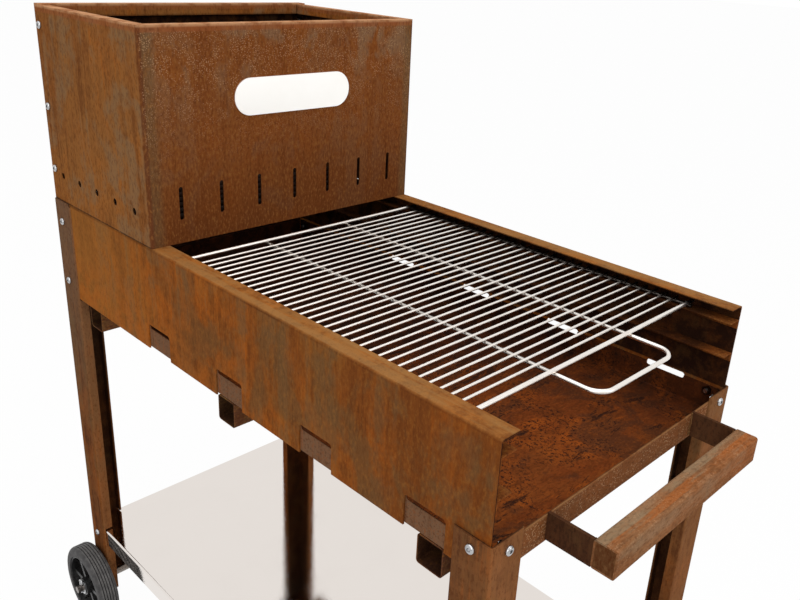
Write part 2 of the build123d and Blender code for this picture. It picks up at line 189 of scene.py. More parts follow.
class Paint(Tree):
    """The node tree of one material: the place on the object, and the colours laid so far."""

    def __init__(self, name: str, base: Colour = WHITE) -> None:
        """Starts a material on a base colour."""
        self.material = bpy.data.materials.new(name)
        self.material.use_nodes = True
        super().__init__(self.material.node_tree)
        self.tree.nodes.clear()
        self.place = self.node("ShaderNodeTexCoord").outputs["Object"]
        split = self.node("ShaderNodeSeparateXYZ", inputs={0: self.place})
        self.x, self.y, self.z = (Field(self, socket) for socket in split.outputs)
        self.colour: Socket | tuple[float, ...] = linear(base)

    def mapped(self, scale: Triple, shift: Triple = (0.0, 0.0, 0.0)) -> Socket:
        """Object coordinates, shifted and then stretched.

        Args:
            scale: factor on each axis.
            shift: move along each axis, which picks another part of a pattern.

        Returns:
            The vector socket.
        """
        inputs = {"Vector": self.place, "Scale": scale, "Location": shift}
        return self.node("ShaderNodeMapping", inputs=inputs).outputs[0]

    def noise(
        self, place: Socket, grain: float, detail: float = 3.0, roughness: float = 0.55,
        distortion: float = 0.0,
    ) -> Field:
        """Cloudy noise.

        Args:
            place: vector socket that it is read at.
            grain: size of its features, in metres.
            detail: octaves.
            roughness: weight of the finer octaves.
            distortion: how far it is warped.

        Returns:
            Values around 0.5.
        """
        inputs = {"Vector": place, "Scale": 1 / grain, "Detail": detail, "Roughness": roughness}
        made = self.node("ShaderNodeTexNoise", inputs={**inputs, "Distortion": distortion})
        return Field(self, made.outputs[0])

    def cells(self, place: Socket, grain: float) -> Field:
        """Distance to the nearest of scattered points, as a share of their spacing grain."""
        made = self.node("ShaderNodeTexVoronoi", inputs={"Vector": place, "Scale": 1 / grain})
        return Field(self, made.outputs[0])

    def lay(self, over: Colour, where: Field, cover: float = 1.0) -> None:
        """Lays a colour over those that are there.

        Args:
            over: the colour on top.
            where: how far it covers at each place, from 0 to 1.
            cover: how far it covers at most.
        """
        amount = where if cover == 1.0 else where * cover
        inputs = {0: amount, 6: self.colour, 7: linear(over)}
        self.colour = self.node("ShaderNodeMix", {"data_type": "RGBA"}, inputs).outputs[2]

    def relief(self, height: Field, depth: float) -> Socket:
        """Surface normal of a relief of that depth, in metres."""
        return self.node("ShaderNodeBump", inputs={"Height": height, "Distance": depth}).outputs[0]

    def finish(self, **surface: Any) -> Material:
        """Closes the material with the colours laid so far.

        Args:
            surface: other values, sockets or Fields of the shader, by input name with _ for a space.

        Returns:
            The material.
        """
        inputs = {name.replace("_", " "): value for name, value in surface.items()}
        shader = self.node("ShaderNodeBsdfPrincipled", inputs={"Base Color": self.colour, **inputs})
        self.node("ShaderNodeOutputMaterial", inputs={"Surface": shader.outputs[0]})
        return self.material


class Recipe(Tree):
    """A Geometry Nodes tree with named sizes, which is run once on a guide mesh."""

    def __init__(self, name: str, sizes: dict[str, float]) -> None:
        """Starts a tree.

        Args:
            name: name of the tree.
            sizes: value of each named input.
        """
        super().__init__(bpy.data.node_groups.new(name, "GeometryNodeTree"))
        self.sizes = sizes
        face = self.tree.interface
        face.new_socket("Guide", in_out="INPUT", socket_type="NodeSocketGeometry")
        for size in sizes:
            face.new_socket(size, in_out="INPUT", socket_type="NodeSocketFloat")
        face.new_socket("Shape", in_out="OUTPUT", socket_type="NodeSocketGeometry")
        self.given = self.node("NodeGroupInput").outputs

    def close(self, shape: Socket, material: Material) -> None:
        """Ends the tree: instances become real, smooth and get their material."""
        real = self.node("GeometryNodeRealizeInstances", inputs={0: shape})
        smooth = self.node("GeometryNodeSetShadeSmooth", inputs={0: real.outputs[0]})
        dressed = self.node("GeometryNodeSetMaterial", inputs={0: smooth.outputs[0], "Material": material})
        self.node("NodeGroupOutput", inputs={0: dressed.outputs[0]})

    def run(self, name: str, guide: bpy.types.Mesh) -> bpy.types.Object:
        """Runs the tree on a guide.

        Args:
            name: name of the piece.
            guide: mesh of points or lines that the tree starts from.

        Returns:
            The piece as a plain mesh.
        """
        piece = placed(name, guide)
        modifier = piece.modifiers.new("recipe", "NODES")
        modifier.node_group = self.tree
        for item in self.tree.interface.items_tree:
            if item.in_out == "INPUT" and item.name in self.sizes:
                modifier[item.identifier] = self.sizes[item.name]
        graph = bpy.context.evaluated_depsgraph_get()
        plain = bpy.data.meshes.new_from_object(piece.evaluated_get(graph), depsgraph=graph)
        piece.modifiers.clear()
        piece.data = plain
        return piece


@dataclass(frozen=True)
class Weld:
    """Weld metal: a drop at each point of a guide, or drops in a row along its lines."""

    name: str
    material: Material
    radius: float
    flatness: float = 0.6
    spacing: float = 0.0
    spread: float = 0.25
    seed: int = 4
    segments: int = 8
    rings: int = 5

    def lay(self, points: Sequence[Vector], lines: Sequence[tuple[int, int]] = ()) -> bpy.types.Object:
        """Lays the weld.

        Args:
            points: places of the drops, or ends of the lines.
            lines: pairs of points with a bead between them; without lines each point has one drop.

        Returns:
            The piece.
        """
        guide = bpy.data.meshes.new(self.name)
        guide.from_pydata(points, lines, [])
        sizes = {"Radius": self.radius, "Flatness": self.flatness, "Spacing": self.spacing}
        recipe = Recipe(self.name, {**sizes, "Spread": self.spread})
        places = recipe.given["Guide"]
        if lines:
            path = recipe.node("GeometryNodeMeshToCurve", inputs={0: places})
            row = {"Curve": path.outputs[0], "Length": recipe.given["Spacing"]}
            places = recipe.node("GeometryNodeResampleCurve", {"mode": "LENGTH"}, row).outputs[0]
        ball = {"Segments": self.segments, "Rings": self.rings, "Radius": recipe.given["Radius"]}
        drop = recipe.node("GeometryNodeMeshUVSphere", inputs=ball)
        spread = Field(recipe, recipe.given["Spread"])
        limits = {2: 1 - spread, 3: 1 + spread, "Seed": self.seed}
        grown = Field(recipe, recipe.node("FunctionNodeRandomValue", inputs=limits).outputs[1])
        flat = grown * Field(recipe, recipe.given["Flatness"])
        scale = recipe.node("ShaderNodeCombineXYZ", inputs={0: grown, 1: grown, 2: flat})
        copies = {"Points": places, "Instance": drop.outputs[0], "Scale": scale.outputs[0]}
        drops = recipe.node("GeometryNodeInstanceOnPoints", inputs=copies)
        recipe.close(drops.outputs[0], self.material)
        return recipe.run(self.name, guide)


class Run(Enum):
    """The way that water and rolling have drawn the rust out, as a stretch of the pattern."""

    DOWN = (1.0, 1.0, 0.07)
    ACROSS = (1.0, 0.22, 1.0)
    ALONG = (0.07, 1.0, 1.0)
    DRAWN = (1.0, 0.05, 1.0)

    def grained(self) -> Triple:
        """The lesser stretch of the fine grain."""
        return tuple(share**0.3 for share in self.value)


@dataclass(frozen=True)
class Corten:
    """Weathering steel: a matt rust skin in several browns, with runs, film, grain and specks.

    Each sheet has its own mix; a subclass says where in the piece's box soot with painted shade, specks,
    and wear with a painted highlight lie.
    """

    name: str
    rust: Colour = (116, 64, 26)
    fresh: Colour = (146, 76, 20)
    ochre: Colour = (144, 92, 38)
    dark: Colour = (80, 41, 18)
    film: Colour = (110, 82, 48)
    scale: Colour = (34, 22, 18)
    speck: Colour = (186, 146, 108)
    # colour of worn edges, also a painted highlight
    wear_and_highlight: Colour = (158, 106, 54)
    # colour of soot, also used for painted shade
    soot_and_shade: Colour = (34, 18, 12)
    run: Run = Run.DOWN
    fresh_cover: float = 0.65
    ochre_cover: float = 0.5
    runs: float = 0.5
    film_cover: float = 0.5
    film_drawn: float = 0.2
    scale_cover: float = 0.0
    specks: float = 0.0
    grit: float = 0.55
    gloss: float = 0.03
    cloud_grain: float = 0.13
    mottle_grain: float = 0.02
    run_grain: float = 0.006
    film_grain: float = 0.1
    scale_grain: float = 0.03
    crumb_grain: float = 0.0042
    speck_grain: float = 0.0026
    grit_grain: float = 0.0028
    relief_depth: float = 0.0005
    seed: float = 0.0
    box: Box = (Vector(), Vector())
    sheet: float = 0.002

    @property
    def low(self) -> Vector:
        """Lowest corner of the piece."""
        return self.box[0]

    @property
    def high(self) -> Vector:
        """Highest corner of the piece."""
        return self.box[1]

    def step(self, place: Field, face: float, start: float, end: float) -> Field:
        """Soft step from 0 to 1 between two depths under a face, in sheet thicknesses."""
        return place.rise(face - start * self.sheet, face - end * self.sheet)

    def inside(self, place: Field, low: float, high: float, start: float, end: float) -> Field:
        """1 between two faces, with a soft step between two depths under each."""
        return self.step(place, low, -start, -end) * self.step(place, high, start, end)

    def along(self, paint: Paint, start: float, end: float) -> Field:
        """Soft step between two shares of the piece's length, from the fire towards the open end."""
        return paint.x.between(self.low.x, self.high.x, start, end)

    def up(self, paint: Paint, start: float, end: float) -> Field:
        """Soft step between two shares of the piece's height."""
        return paint.z.between(self.low.z, self.high.z, start, end)

    def sooted_and_shaded(self, paint: Paint) -> Field | None:
        """Where soot and painted shade darken the piece."""
        return None

    def worn_and_highlit(self, paint: Paint) -> Field | None:
        """Where edges are lighter: wear, together with a painted highlight where thin edges catch the
        light.
        """
        return None

    def peppered(self, paint: Paint) -> Field | None:
        """Where the light specks lie; all over if it isn't said."""
        return None

    def toned(self, paint: Paint, mottle: Field) -> None:
        """Lays the colours that lie only on one part of the piece, broken up by the mottle."""

    def make(self) -> Material:
        """Lays the rust from its broad patches down to grit and specks, then wear with a painted
        highlight, and soot with painted shade.

        Returns:
            The material.
        """
        paint = Paint(self.name, self.rust)
        shift = tuple(self.seed * way for way in SEED_WAY)
        flat = paint.mapped(EVEN, shift)
        drawn = paint.mapped(self.run.value, shift)
        clouds = paint.noise(flat, self.cloud_grain, 5, 0.62, 0.7)
        mottle = paint.noise(flat, self.mottle_grain, 7, 0.66)
        runs = paint.noise(drawn, self.run_grain, 4, 0.6)
        broad_runs = paint.noise(drawn, 5 * self.run_grain, 5, 0.62, 0.5)
        film = paint.noise(flat, self.film_grain, 6, 0.62, 0.9)
        grit = paint.noise(paint.mapped(self.run.grained(), shift), self.grit_grain, 3, 0.6)

        fresh = clouds * 0.5 + broad_runs * 0.3 + mottle * 0.2
        paint.lay(self.fresh, fresh.rise(0.46, 0.58), self.fresh_cover)
        ochre = paint.noise(flat, 1.9 * self.cloud_grain, 4, 0.6) * 0.6 + broad_runs * 0.4
        paint.lay(self.ochre, ochre.rise(0.48, 0.6), self.ochre_cover)
        dark_runs = runs * 0.5 + broad_runs * 0.3 + mottle * 0.2
        paint.lay(self.dark, dark_runs.rise(0.51, 0.39), self.runs)
        light_runs = runs * 0.6 + broad_runs * 0.4
        paint.lay(self.fresh, light_runs.rise(0.53, 0.64), self.runs)
        drawn_film = film * (0.85 - self.film_drawn) + broad_runs * self.film_drawn + mottle * 0.15
        filmed = drawn_film.rise(0.49, 0.58) * self.film_cover
        paint.lay(self.film, filmed)
        if self.scale_cover:
            patches = paint.noise(drawn, self.scale_grain, 9, 0.76, 0.6).rise(0.56, 0.61)
            crumbs = paint.noise(flat, self.crumb_grain, 4, 0.7).rise(0.53, 0.58) * clouds.rise(0.44, 0.54)
            paint.lay(self.scale, patches.most(crumbs), self.scale_cover)
        self.toned(paint, mottle)
        paint.lay(self.dark, grit.rise(0.5, 0.34), self.grit)
        paint.lay(self.ochre, grit.rise(0.52, 0.68), self.grit)
        dots = paint.cells(flat, self.speck_grain).rise(0.4, 0.22) * mottle.rise(0.4, 0.56)
        where = self.peppered(paint)
        dots = dots * self.specks if where is None else dots * where * self.specks
        paint.lay(self.speck, dots)
        # worn edges and tops get a lighter colour that is also a painted highlight
        edges = self.worn_and_highlit(paint)
        if edges is not None:
            paint.lay(self.wear_and_highlight, edges * (mottle.rise(0.4, 0.56) * 0.7 + 0.25))
        # soot and painted shade: this colour also darkens insides, hollows and undersides where shade
        # falls
        black = self.sooted_and_shaded(paint)
        if black is not None:
            paint.lay(self.soot_and_shade, black * (mottle.rise(0.62, 0.42) * 0.2 + 0.78))
        height = mottle * 0.5 + grit * 0.4 + dots * 0.3
        return paint.finish(
            Roughness=0.9 - mottle * 0.2 - filmed * 0.12,
            Specular_IOR_Level=self.gloss,
            Normal=paint.relief(height, self.relief_depth),
        )


@dataclass(frozen=True)
class WallCorten(Corten):
    """Side walls of the trough: dark inside with soot and painted shade, ochre by the fire, brown by the
    open end.
    """

    sill: float = 0.0
    brown: Colour = (102, 54, 22)
    # orange of the drips, also the painted highlight on the bend
    drip_and_highlight: Colour = (166, 90, 28)
    flange: Colour = (132, 96, 58)
    bloom: Colour = (100, 72, 42)
    bloom_grain: float = 0.075
    bloom_stretch: Triple = (1.0, 1.0, 0.45)
    bloom_shift: Triple = (0.23, 0.0, 0.41)

    def _bend(self, paint: Paint) -> Field:
        """1 on the bend between the face and the flange."""
        across = self.step(abs(paint.y), -self.low.y, 2.5, 1.5)
        return across * self.step(paint.z, self.high.z, 2.5, 1.5)

    def sooted_and_shaded(self, paint: Paint) -> Field:
        """Soot and painted shade on the inner face above the floor and on the underside of the flange."""
        inner = self.step(abs(paint.y), -self.low.y, 0.25, 0.75)
        under = self.step(paint.z, self.high.z, 0.25, 0.75)
        above = self.step(paint.z, self.sill, -1.5, -2.5)
        return inner * under * above * (1 - self._bend(paint))

    def worn_and_highlit(self, paint: Paint) -> Field:
        """Wear and a painted highlight on the top of the flange."""
        return self.step(paint.z, self.high.z, 1.5, 0.2) * 0.45

    def toned(self, paint: Paint, mottle: Field) -> None:
        """Ochre and orange drips by the fire, brown by the open end, a greyer flange, and on the bend a
        painted orange highlight with darker streaks and painted shade.
        """
        paint.lay(self.ochre, self.along(paint, 0.45, 0.05), 0.55)
        paint.lay(self.brown, self.along(paint, 0.5, 1.0), 0.45)
        low_rear = self.up(paint, 0.75, 0.0) * self.along(paint, 0.9, 0.3)
        paint.lay(self.drip_and_highlight, low_rear * mottle.rise(0.36, 0.6), 0.6)
        place = paint.mapped(self.bloom_stretch, self.bloom_shift)
        patches = paint.noise(place, self.bloom_grain, 6, 0.6, 0.6)
        grey = (patches * 0.8 + mottle * 0.2).rise(0.49, 0.57)
        paint.lay(self.bloom, grey * self.along(paint, 0.3, 0.5), 0.6)
        on_top = self.step(paint.z, self.high.z, 0.5, 0.1)
        streaks = paint.noise(paint.mapped(Run.ALONG.value), 2.5 * self.run_grain, 4, 0.62)
        paint.lay(self.flange, on_top * streaks.rise(0.4, 0.56), 0.8)
        # painted highlight and painted shade on the bend, so that the sharp fold looks rounded
        bent = self._bend(paint) * (1 - on_top)
        paint.lay(self.drip_and_highlight, bent * streaks.rise(0.5, 0.62), 0.5)
        paint.lay(self.dark, bent * (0.3 + 0.45 * streaks.rise(0.52, 0.38)))


@dataclass(frozen=True)
class FireboxCorten(Corten):
    """Firebox sheets: darker and peppered on the front, dark inside with soot and painted shade, worn
    lighter on the rim's fold with a painted highlight.
    """

    front_rust: Colour = (110, 57, 25)
    crease: Colour = (86, 44, 24)
    edge: Colour = (96, 74, 48)
    lip: Colour = (142, 80, 46)
    bloom: Colour = (122, 98, 74)
    bloom_grain: float = 0.045
    bloom_stretch: Triple = (1.0, 1.0, 0.6)
    bloom_shift: Triple = (0.0, 0.31, 0.0)

    def _front(self, paint: Paint) -> Field:
        """1 on the front face."""
        return self.step(paint.x, self.high.x, 1.0, 0.2)

    def _edge(self, paint: Paint, start: float, end: float) -> Field:
        """Soft step towards the sides' outer faces."""
        return self.step(abs(paint.y), self.high.y, start, end)

    def _corner(self, paint: Paint) -> Field:
        """1 on the upright folds at the front corners."""
        return self._edge(paint, 3.0, 1.5) * self.step(paint.x, self.high.x, 3.0, 1.5)

    def _lip(self, paint: Paint) -> Field:
        """1 on the band under the rim."""
        return self.step(paint.z, self.high.z, 4.8, 3.6)

    def sooted_and_shaded(self, paint: Paint) -> Field:
        """Soot and painted shade on everything inside the sheets, below the rim."""
        within = self.inside(paint.x, self.low.x, self.high.x, 0.25, 0.75) * self._edge(paint, 0.25, 0.75)
        return within * self.step(paint.z, self.high.z, 6.4, 9.6) * (1 - self._corner(paint))

    def worn_and_highlit(self, paint: Paint) -> Field:
        """Wear and a painted highlight on the rim's top."""
        return self.step(paint.z, self.high.z, 2.1, 0.3) * 0.75

    def peppered(self, paint: Paint) -> Field:
        """The upper part of the front, thinning out downwards, and a band along its edges."""
        band = self._edge(paint, 30.0, 3.0) * 0.7 * self.up(paint, 0.25, 0.5)
        return self._front(paint) * self.up(paint, 0.3, 0.75).most(band) * (1 - self._lip(paint))

    def toned(self, paint: Paint, mottle: Field) -> None:
        """An even brown front with a grey bloom near the top, darker near the bottom, and a painted shadow
        along the bottom of the sides.
        """
        front = self._front(paint)
        paint.lay(self.front_rust, front * (0.5 + 0.3 * mottle))
        place = paint.mapped(self.bloom_stretch, self.bloom_shift)
        patches = paint.noise(place, self.bloom_grain, 5, 0.6, 0.4)
        grey = patches.rise(0.5, 0.64) * self.up(paint, 0.55, 0.9)
        paint.lay(self.bloom, front * grey, 0.6)
        paint.lay(self.dark, front * self.up(paint, 0.55, 0.0), 0.45)
        paint.lay(self.edge, front * self._edge(paint, 12.0, 6.0) * (0.3 + 0.5 * mottle))
        paint.lay(self.lip, self._lip(paint) * (0.3 + 0.6 * mottle))
        # painted shadow in the scale colour along the sides' bottom edge, where the box sits on the walls
        seam_shadow = self.step(paint.z, self.low.z, -1.0, -0.4)
        paint.lay(self.scale, seam_shadow * (1 - front), 0.8)
        paint.lay(self.crease, self._corner(paint), 0.75)


@dataclass(frozen=True)
class FloorCorten(Corten):
    """Floor tray: red rust with black scale inside, peppered brown on its front edge."""

    lip: Colour = (122, 78, 46)
    side: Colour = (114, 86, 64)
    soot_and_shade_start: float = 0.18
    soot_and_shade_full: float = 0.5

    def _front(self, paint: Paint) -> Field:
        """1 on the outside of the front edge."""
        return self.step(paint.x, self.high.x, 0.75, 0.25)

    def _side(self, paint: Paint) -> Field:
        """1 on the outsides of the side edges."""
        below = self.step(paint.z, self.high.z, 0.05, 0.5)
        return self.step(abs(paint.y), self.high.y, 0.75, 0.25) * below

    def sooted_and_shaded(self, paint: Paint) -> Field:
        """Darkens towards the fire and the right wall with soot and painted shade, adds the right wall's
        painted shadow, and painted shade up the insides of the edges.
        """
        # soot with painted shade towards the fire and the right wall; the right wall also casts a painted
        # shadow, and the edges' insides get painted shade
        towards_fire_and_wall = (paint.x - paint.y).rise(self.high.x - self.soot_and_shade_start, self.high.x - self.soot_and_shade_full)
        wall_shadow = paint.y.rise(0.2 * self.high.y, self.high.y) * 0.7
        up = self.step(paint.z, self.low.z, -1.5, -8.0) * 0.6
        inside = (1 - self._side(paint)) * (1 - self._front(paint))
        return towards_fire_and_wall.most(wall_shadow).most(up) * inside

    def worn_and_highlit(self, paint: Paint) -> Field:
        """Wear and a painted highlight on the top of the front edge."""
        return self.step(paint.z, self.high.z, 1.2, 0.3) * self.step(paint.x, self.high.x, 1.5, 1.0)

    def peppered(self, paint: Paint) -> Field:
        """The front edge."""
        return self._front(paint)

    def toned(self, paint: Paint, mottle: Field) -> None:
        """Tan brown on the outside of the front edge, streaks of orange and brown on the side edges."""
        side = self._side(paint)
        streaks = paint.noise(paint.mapped(Run.DOWN.value), 1.5 * self.run_grain, 4, 0.62)
        paint.lay(self.side, side * (0.75 + 0.25 * mottle))
        paint.lay(self.fresh, side * streaks.rise(0.52, 0.66), 0.35)
        paint.lay(self.dark, side * streaks.rise(0.46, 0.34), 0.35)
        paint.lay(self.lip, self._front(paint) * (0.65 + 0.3 * mottle))


@dataclass(frozen=True)
class LedgeCorten(Corten):
    """Ledges inside the trough: dark with soot and painted shade, apart from their ends at the opening."""

    # length of the front end that is left out of the soot and painted shade
    lit_end: float = 0.05

    def sooted_and_shaded(self, paint: Paint) -> Field:
        """Soot and painted shade on everything but the front ends."""
        return paint.x.rise(self.high.x - 0.2 * self.lit_end, self.high.x - self.lit_end) * 0.9


@dataclass(frozen=True)
class EndCorten(Corten):
    """End wall of the trough: dark on its inside with soot and painted shade."""

    def sooted_and_shaded(self, paint: Paint) -> Field:
        """Soot and painted shade on everything in front of the outer face."""
        return self.step(paint.x, self.low.x, -0.25, -0.75)


@dataclass(frozen=True)
class LegCorten(Corten):
    """Legs: greyer at the top, more orange low down, with a painted light on the face towards the open
    end.
    """

    sheet: float = 0.003
    grey: Colour = (106, 85, 67)
    greyed: float = 0.0
    # colour of the painted light on the face towards the open end
    light: Colour = (142, 94, 58)

    def sooted_and_shaded(self, paint: Paint) -> Field:
        """The insides of the flanges, which lie in the shade."""
        near, far = sorted((abs(self.low.y), abs(self.high.y)))
        across = self.inside(abs(paint.y), near, far, 0.3, 0.9)
        return self.inside(paint.x, self.low.x, self.high.x, 0.3, 0.9) * across * 0.8

    def toned(self, paint: Paint, mottle: Field) -> None:
        """Grey towards the top, and a painted light on the face towards the open end."""
        paint.lay(self.grey, self.up(paint, 0.35, 0.95) * (0.5 + 0.8 * mottle), self.greyed)
        # painted light: the face towards the open end is lighter, as lit from the front
        face = self.step(paint.x, self.high.x, 0.75, 0.25)
        paint.lay(self.light, face * (0.1 + 0.7 * mottle))


@dataclass(frozen=True)
class TubeCorten(Corten):
    """Cross tubes: dark inside with painted shade."""

    def sooted_and_shaded(self, paint: Paint) -> Field:
        """Painted shade on everything inside the walls of the tube."""
        upright = self.inside(paint.z, self.low.z, self.high.z, 0.3, 0.8)
        return self.inside(paint.x, self.low.x, self.high.x, 0.3, 0.8) * upright * 0.9


@dataclass(frozen=True)
class HandleCorten(Corten):
    """Handle tube: grey along the rear half of its top, with an orange line beside it."""

    strip: Colour = (134, 112, 86)
    glow: Colour = (160, 90, 42)
    patch_stretch: Triple = (1.0, 0.3, 1.0)

    def toned(self, paint: Paint, mottle: Field) -> None:
        """The strip and the line, both with ragged edges."""
        on_top = self.step(paint.z, self.high.z, 1.5, 0.5)
        streaks = paint.noise(paint.mapped(Run.DRAWN.value), 1.5 * self.run_grain, 4, 0.62)
        patches = paint.noise(paint.mapped(self.patch_stretch), 5 * self.run_grain, 5, 0.62)
        off = paint.x - (self.low.x + self.high.x) / 2 + (streaks - 0.5) * (20 * self.sheet)
        grey = self.step(off, 0.0, -2.0, 2.0) * (0.15 + 0.7 * patches.rise(0.38, 0.56))
        paint.lay(self.strip, on_top * grey)
        line = self.step(abs(off - 2 * self.sheet), 0.0, -3.0, -0.5)
        paint.lay(self.glow, on_top * line * (0.6 * patches.rise(0.62, 0.42)))


@dataclass(frozen=True)
class Stainless:
    """Bright stainless steel, rolled or drawn, with faint lines along one way."""

    name: str
    tone: Colour
    smudge: Colour
    roughness: float
    run: Run = Run.ALONG
    line_grain: float = 0.0009
    smudge_grain: float = 0.09
    relief_depth: float = 0.00002
    soiled: float = 0.25
    lined: float = 0.08
    # colour of the painted shade on the steel
    dark_coat: Colour = (46, 38, 33)

    def painted_shade(self, paint: Paint) -> Field | None:
        """Where painted shade darkens the steel."""
        return None

    def make(self) -> Material:
        """Lays smudges and fine lines over the bright steel, then the painted shade.

        Returns:
            The material.
        """
        paint = Paint(self.name, self.tone)
        lines = paint.noise(paint.mapped(self.run.value), self.line_grain, 2)
        smudges = paint.noise(paint.place, self.smudge_grain, 5, 0.6).rise(0.42, 0.72)
        paint.lay(self.smudge, smudges * self.soiled + lines.rise(0.5, 0.8) * self.lined)
        # painted shade laid in the dark coat colour
        black = self.painted_shade(paint)
        if black is not None:
            paint.lay(self.dark_coat, black)
        return paint.finish(
            Metallic=1.0,
            Roughness=self.roughness * (0.85 + 0.3 * lines) + smudges * 0.05,
            Normal=paint.relief(lines, self.relief_depth),
        )


@dataclass(frozen=True)
class GrateSteel(Stainless):
    """Wire of the cooking grate: painted shade at the ends, under the walls' flanges, and on the rods
    under the bars.
    """

    ends: float = 1.0
    under: float = -1.0
    fade: float = 0.012

    def painted_shade(self, paint: Paint) -> Field:
        """Painted shade beyond the ends, where the flanges overhang, and behind the last bar where
        something lies over the wire.
        """
        # painted shadow of the walls' flanges on the wire ends, and painted shade on the rods under the
        # bars
        tips = abs(paint.y).rise(self.ends, self.ends + self.fade) * 0.92
        return tips.most(paint.x.rise(self.under, self.under - self.fade) * 0.5)


@dataclass(frozen=True)
class Zinc:
    """Zinc-plated steel of the bolts, nuts and axle, with a mottled plating."""

    name: str = "zinc_plating"
    tone: Colour = (186, 186, 187)
    dull: Colour = (112, 111, 111)
    grain: float = 0.0025
    relief_depth: float = 0.00004

    def make(self) -> Material:
        """Lays dull patches over the plating.

        Returns:
            The material.
        """
        paint = Paint(self.name, self.tone)
        mottle = paint.noise(paint.place, self.grain, 4, 0.6)
        paint.lay(self.dull, mottle.rise(0.4, 0.75), 0.7)
        normal = paint.relief(mottle, self.relief_depth)
        return paint.finish(Metallic=1.0, Roughness=0.2 + mottle * 0.18, Normal=normal)


@dataclass(frozen=True)
class Rubber:
    """Grey-black tyre rubber, dusty on the ribs and dark in the grooves."""

    axle: Vector
    radius: float
    groove: float
    name: str = "tyre_rubber"
    tone: Colour = (52, 50, 50)
    dust: Colour = (114, 112, 110)
    gloom: Colour = (24, 23, 23)
    scuff_grain: float = 0.011
    grit_grain: float = 0.0009
    relief_depth: float = 0.0003

    def make(self) -> Material:
        """Lays dust over the ribs and shade into the grooves.

        Returns:
            The material.
        """
        paint = Paint(self.name, self.tone)
        out = ((paint.x - self.axle.x) ** 2 + (paint.z - self.axle.z) ** 2) ** 0.5
        scuff = paint.noise(paint.place, self.scuff_grain, 6, 0.65)
        grit = paint.noise(paint.place, self.grit_grain, 3, 0.6)
        ribs = out.rise(self.radius - self.groove, self.radius - 0.15 * self.groove)
        paint.lay(self.dust, scuff.rise(0.35, 0.7) * 0.5 + ribs * 0.4, 0.8)
        low = out.rise(self.radius - 0.75 * self.groove, self.radius - 0.95 * self.groove)
        middle = abs(abs(paint.y) - abs(self.axle.y)).rise(8 * self.groove, 7 * self.groove)
        paint.lay(self.gloom, low * middle)
        return paint.finish(
            Roughness=0.62 + scuff * 0.25,
            Normal=paint.relief(grit * 0.5 + scuff * 0.5, self.relief_depth),
        )


@dataclass(frozen=True)
class MouldedPlastic:
    """Black moulded plastic of the wheel rims, lightly grained, dusty in places."""

    name: str = "rim_plastic"
    tone: Colour = (22, 21, 21)
    dust: Colour = (70, 67, 64)
    grain: float = 0.0011
    dust_grain: float = 0.02
    relief_depth: float = 0.00008

    def make(self) -> Material:
        """Lays dust over the plastic.

        Returns:
            The material.
        """
        paint = Paint(self.name, self.tone)
        dusty = paint.noise(paint.place, self.dust_grain, 5, 0.65).rise(0.48, 0.8)
        paint.lay(self.dust, dusty, 0.5)
        grain = paint.cells(paint.place, self.grain)
        return paint.finish(Roughness=0.38 + dusty * 0.3, Normal=paint.relief(grain, self.relief_depth))


@dataclass
class SubAssembly:
    """A group of CAD nodes that is dressed, and may carry pieces of its own."""

    nodes: dict[str, bpy.types.Object]

    def coat(self, material: Material, *names: str) -> None:
        """Gives CAD nodes their finish.

        Args:
            material: the finish.
            names: the nodes.
        """
        for name in names:
            for slot in self.nodes[name].material_slots:
                slot.material = material
            log.info("%s: %s", name, material.name)


@dataclass
class Trough(SubAssembly):
    """Side walls, floor, end wall and the ledges of the cooking trough."""

    def dress(self) -> None:
        """Gives each sheet its own rust."""
        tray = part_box("floor_pan")
        wall = WallCorten(
            "wall_rust", rust=(122, 68, 26), fresh=(164, 84, 20), ochre=(152, 98, 42), film=(100, 76, 48),
            film_cover=0.65, film_drawn=0.5, film_grain=0.085, runs=0.45, grit=0.28,
            box=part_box("side_wall_left"), sill=tray[1].z,
        )
        self.coat(wall.make(), "side_wall_left", "side_wall_right")
        floor = FloorCorten(
            "floor_rust", rust=(112, 54, 22), fresh=(158, 78, 24), ochre=(122, 66, 28), film=(72, 42, 26),
            wear_and_highlight=(136, 94, 58),
            run=Run.ACROSS, scale_cover=0.92, film_cover=0.75, specks=0.55, cloud_grain=0.07,
            film_grain=0.06, seed=3.0, box=tray,
        )
        self.coat(floor.make(), "floor_pan")
        inner = LedgeCorten("inner_rust", fresh=(126, 66, 26), film_cover=0.3, seed=5.0, box=tray)
        ledges = ("ledge_upper_left", "ledge_upper_right", "ledge_lower_left", "ledge_lower_right")
        self.coat(inner.make(), *ledges)
        end = EndCorten("end_rust", film_cover=0.65, seed=6.0, box=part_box("trough_end_wall"))
        self.coat(end.make(), "trough_end_wall")


@dataclass
class Firebox(SubAssembly):
    """The bolted box that the fire burns in, with its bare plate."""

    def dress(self) -> None:
        """Gives the sheets and the plate their finishes."""
        shell = FireboxCorten(
            "firebox_rust", rust=(128, 78, 37), fresh=(152, 84, 27), ochre=(142, 94, 47),
            film=(122, 95, 66), wear_and_highlight=(196, 148, 108),
            film_cover=0.7, film_drawn=0.35, runs=0.45, specks=0.55, speck_grain=0.0021, grit=0.45,
            seed=7.0, box=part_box("firebox_shell"),
        )
        self.coat(shell.make(), "firebox_shell")
        low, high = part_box("firebox_rear_panel")
        box = low, Vector((shell.high.x, high.y, high.z))
        rear = replace(shell, name="firebox_rear_rust", box=box)
        self.coat(rear.make(), "firebox_rear_panel")
        plate = Stainless(
            "plate_steel", tone=(250, 248, 244), smudge=(238, 234, 228),
            roughness=0.4, run=Run.ACROSS, relief_depth=0.000004, lined=0.03,
        )
        self.coat(plate.make(), "front_plate")


